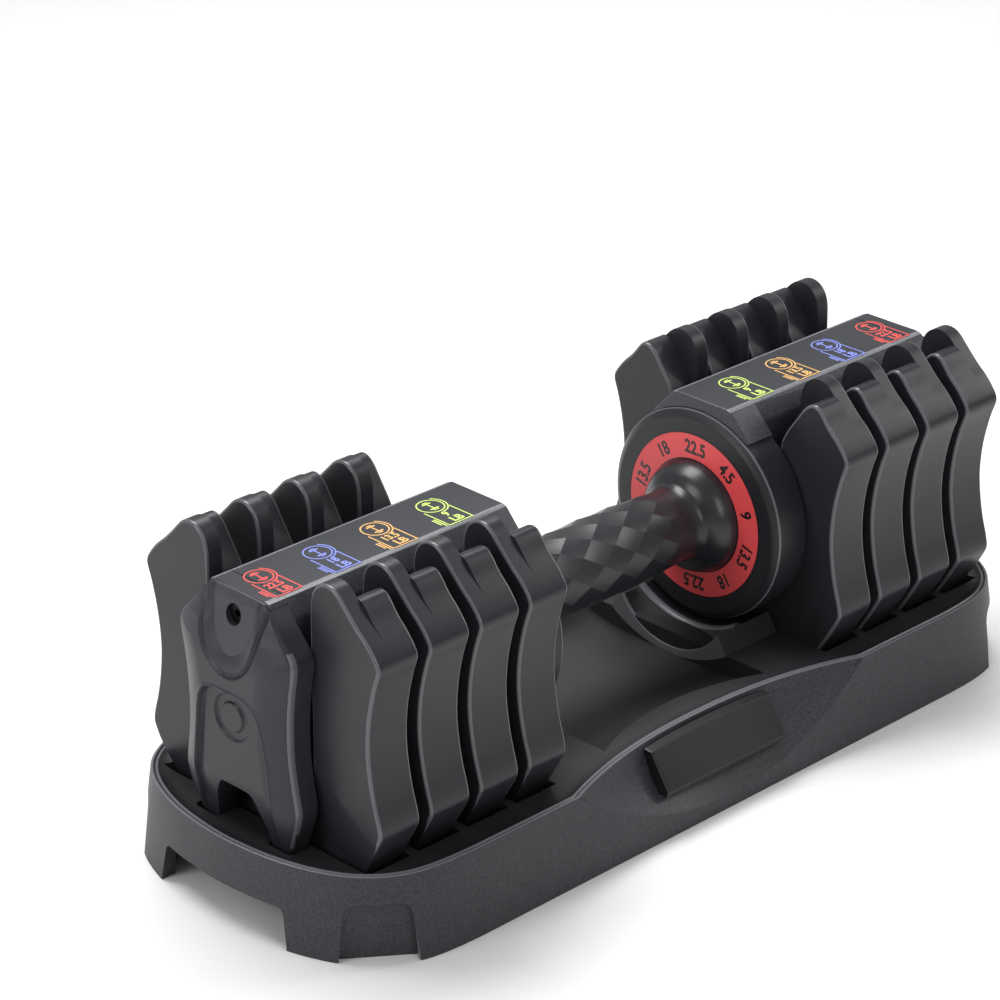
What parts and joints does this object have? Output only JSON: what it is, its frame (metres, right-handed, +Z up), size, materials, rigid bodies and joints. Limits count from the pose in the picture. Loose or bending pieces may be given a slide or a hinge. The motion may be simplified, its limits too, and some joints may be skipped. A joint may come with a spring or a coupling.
{
  "type": "adjustable dumbbell",
  "caption": "Adjustable dumbbell with a twist grip that selects weight plates, resting in its storage tray; the dumbbell lifts out of the tray and the grip turns the selector.",
  "frame": {"origin": "middle of the tray's underside, where it stands on the table", "axes": "+X along the handle, +Z up, +Y to the back; left means -X"},
  "size_m": [0.4256, 0.168, 0.1524],
  "materials": {
    "tray_plastic": "fine speckled grain, dark grey",
    "badge_plastic": "fine grain, dark grey",
    "housing_plastic": "speckled satin, dark grey",
    "cover_plastic": "satin, dark grey",
    "drum_plastic": "satin, dark grey",
    "plate_coating": "satin plastic coat over steel, dark grey",
    "red_ring": "satin red",
    "black_gloss": "polished black",
    "grip_plastic": "satin, dark grey",
    "steel": "machined",
    "bush_bronze": "machined"
  },
  "bodies": {
    "tray": {"tray": "tray_plastic", "badge_pad_front": "badge_plastic", "badge_pad_back": "badge_plastic"},
    "carrier": {"housing_l": "housing_plastic", "end_cover_l": "cover_plastic", "end_screw_l": "steel", "dial_drum_l": "drum_plastic", "shaft_bush_l": "bush_bronze", "housing_r": "housing_plastic", "end_cover_r": "cover_plastic", "end_screw_r": "steel", "dial_drum_r": "drum_plastic", "shaft_bush_r": "bush_bronze"},
    "selector": {"grip_sleeve": "grip_plastic", "selector_shaft": "steel", "bell_collar_l": "black_gloss", "number_ring_l": "red_ring", "lock_ring_l": "steel", "bell_collar_r": "black_gloss", "number_ring_r": "red_ring", "lock_ring_r": "steel", "selector_disc_l1": "steel", "selector_disc_l2": "steel", "selector_disc_l3": "steel", "selector_disc_l4": "steel", "selector_disc_r1": "steel", "selector_disc_r2": "steel", "selector_disc_r3": "steel", "selector_disc_r4": "steel"},
    "plate_l1": {"plate_l1_fin": "plate_coating", "plate_l1_block": "plate_coating"},
    "plate_l2": {"plate_l2_fin": "plate_coating", "plate_l2_block": "plate_coating"},
    "plate_l3": {"plate_l3_fin": "plate_coating", "plate_l3_block": "plate_coating"},
    "plate_l4": {"plate_l4_fin": "plate_coating", "plate_l4_block": "plate_coating"},
    "plate_r1": {"plate_r1_fin": "plate_coating", "plate_r1_block": "plate_coating"},
    "plate_r2": {"plate_r2_fin": "plate_coating", "plate_r2_block": "plate_coating"},
    "plate_r3": {"plate_r3_fin": "plate_coating", "plate_r3_block": "plate_coating"},
    "plate_r4": {"plate_r4_fin": "plate_coating", "plate_r4_block": "plate_coating"},
    "lock_pin_l": {"lock_pin_l": "steel"},
    "lock_pin_r": {"lock_pin_r": "steel"}
  },
  "joints": [
    {"name": "lift", "type": "slide", "parent": "tray", "child": "carrier", "axis": [0, 0, 1], "range_m": [0, 0.22]},
    {"name": "dial_turn", "type": "hinge", "parent": "carrier", "child": "selector", "pos_m": [0, 0, 0.086], "axis": [1, 0, 0], "range_deg": [-180, 72]},
    {"name": "plate_l1_lift", "type": "slide", "parent": "tray", "child": "plate_l1", "axis": [0, 0, 1], "range_m": [0, 0.22]},
    {"name": "plate_l2_lift", "type": "slide", "parent": "tray", "child": "plate_l2", "axis": [0, 0, 1], "range_m": [0, 0.22]},
    {"name": "plate_l3_lift", "type": "slide", "parent": "tray", "child": "plate_l3", "axis": [0, 0, 1], "range_m": [0, 0.22]},
    {"name": "plate_l4_lift", "type": "slide", "parent": "tray", "child": "plate_l4", "axis": [0, 0, 1], "range_m": [0, 0.22]},
    {"name": "plate_r1_lift", "type": "slide", "parent": "tray", "child": "plate_r1", "axis": [0, 0, 1], "range_m": [0, 0.22]},
    {"name": "plate_r2_lift", "type": "slide", "parent": "tray", "child": "plate_r2", "axis": [0, 0, 1], "range_m": [0, 0.22]},
    {"name": "plate_r3_lift", "type": "slide", "parent": "tray", "child": "plate_r3", "axis": [0, 0, 1], "range_m": [0, 0.22]},
    {"name": "plate_r4_lift", "type": "slide", "parent": "tray", "child": "plate_r4", "axis": [0, 0, 1], "range_m": [0, 0.22]},
    {"name": "lock_pin_l_drop", "type": "slide", "parent": "carrier", "child": "lock_pin_l", "axis": [0, 0, 1], "range_m": [-0.004, 0]},
    {"name": "lock_pin_r_drop", "type": "slide", "parent": "carrier", "child": "lock_pin_r", "axis": [0, 0, 1], "range_m": [-0.004, 0]}
  ],
  "couplings": [
    {"joint": "plate_l1_lift", "follows": "lift", "ratio": 1},
    {"joint": "plate_l2_lift", "follows": "lift", "ratio": 1},
    {"joint": "plate_l3_lift", "follows": "lift", "ratio": 1},
    {"joint": "plate_l4_lift", "follows": "lift", "ratio": 1},
    {"joint": "plate_r1_lift", "follows": "lift", "ratio": 1},
    {"joint": "plate_r2_lift", "follows": "lift", "ratio": 1},
    {"joint": "plate_r3_lift", "follows": "lift", "ratio": 1},
    {"joint": "plate_r4_lift", "follows": "lift", "ratio": 1},
    {"joint": "lock_pin_l_drop", "follows": "lift", "ratio": -0.018182},
    {"joint": "lock_pin_r_drop", "follows": "lift", "ratio": -0.018182}
  ]
}
